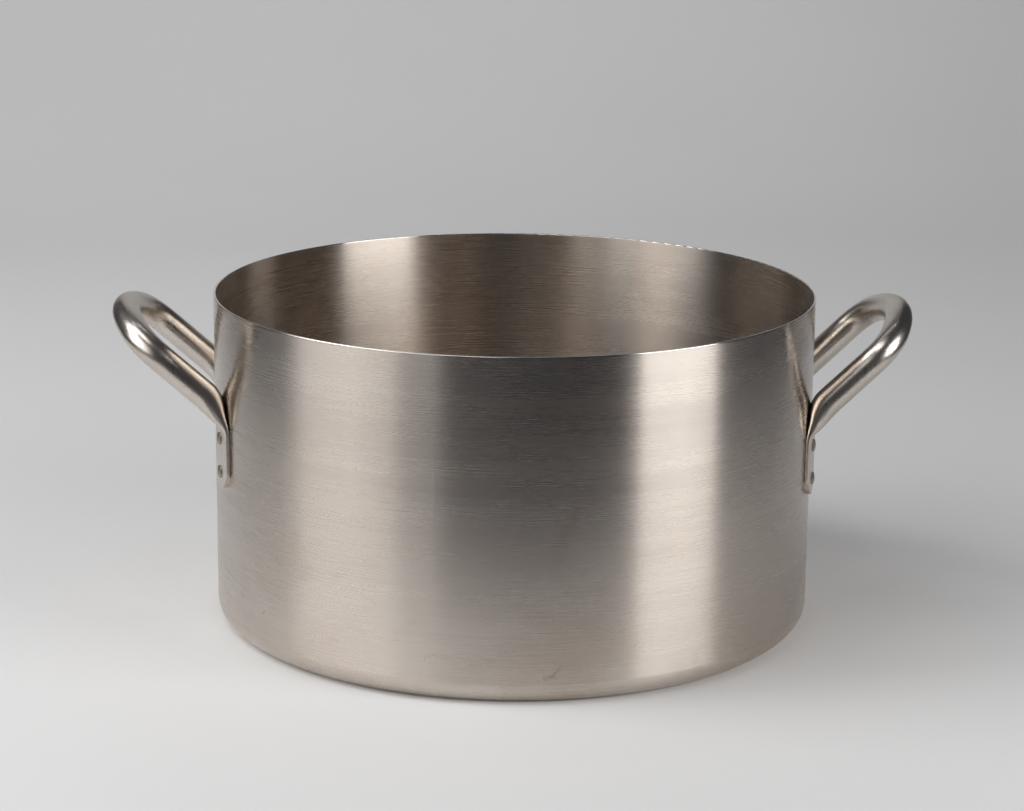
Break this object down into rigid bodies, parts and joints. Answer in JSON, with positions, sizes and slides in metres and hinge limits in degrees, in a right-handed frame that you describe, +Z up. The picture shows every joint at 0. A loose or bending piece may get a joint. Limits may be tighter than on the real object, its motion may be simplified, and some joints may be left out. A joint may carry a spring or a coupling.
{
  "type": "stock pot",
  "caption": "Wide straight-sided stainless stock pot with riveted tubular loop handles on opposite sides, open at the top.",
  "frame": {"origin": "centre of the base, on the surface the pot stands on", "axes": "+Z up along the pot's axis; the handles lie along +X and -X; -Y is the side facing the viewer"},
  "size_m": [0.5361, 0.403, 0.223],
  "materials": {
    "pot_steel": "satin, brushed around the wall",
    "handle_steel": "satin polished tube",
    "rivet_steel": "peened, dull"
  },
  "bodies": {
    "root": {"pot_body": "pot_steel", "right_handle": "handle_steel", "left_handle": "handle_steel", "right_front_upper_rivet": "rivet_steel", "right_front_lower_rivet": "rivet_steel", "right_back_upper_rivet": "rivet_steel", "right_back_lower_rivet": "rivet_steel", "left_front_upper_rivet": "rivet_steel", "left_front_lower_rivet": "rivet_steel", "left_back_upper_rivet": "rivet_steel", "left_back_lower_rivet": "rivet_steel"}
  },
  "joints": []
}
